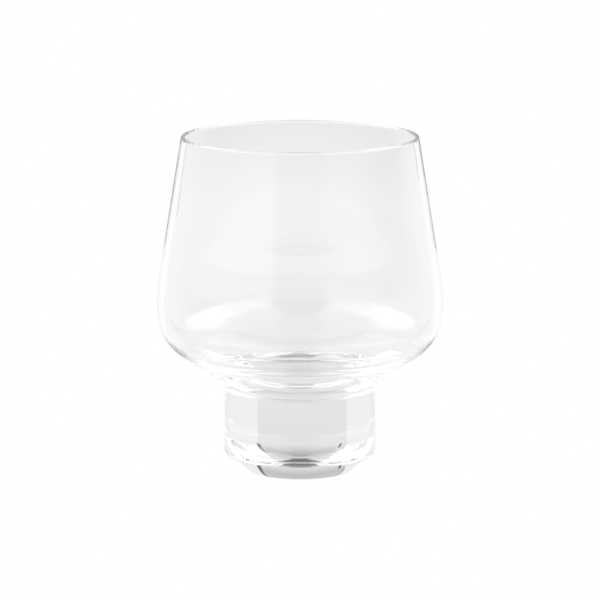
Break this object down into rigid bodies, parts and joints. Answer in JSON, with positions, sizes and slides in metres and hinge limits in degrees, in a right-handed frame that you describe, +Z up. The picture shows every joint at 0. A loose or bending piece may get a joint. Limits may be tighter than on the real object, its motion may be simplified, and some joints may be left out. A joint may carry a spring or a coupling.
{
  "type": "whiskey tumbler",
  "caption": "Clear whiskey tumbler: a tapered bowl with a rounded shoulder, fused to a solid round foot with a wide soft bevel round its lower edge.",
  "frame": {"origin": "centre of the foot's flat underside, on the surface that the tumbler stands on", "axes": "+Z is up, along the axis of revolution, from the foot to the rim; X and Y are any two horizontal directions, because the tumbler is round"},
  "size_m": [0.085, 0.085, 0.1005],
  "materials": {
    "clear_glass": "fire polished, colourless"
  },
  "bodies": {
    "root": {"bowl": "clear_glass", "foot": "clear_glass"}
  },
  "joints": []
}
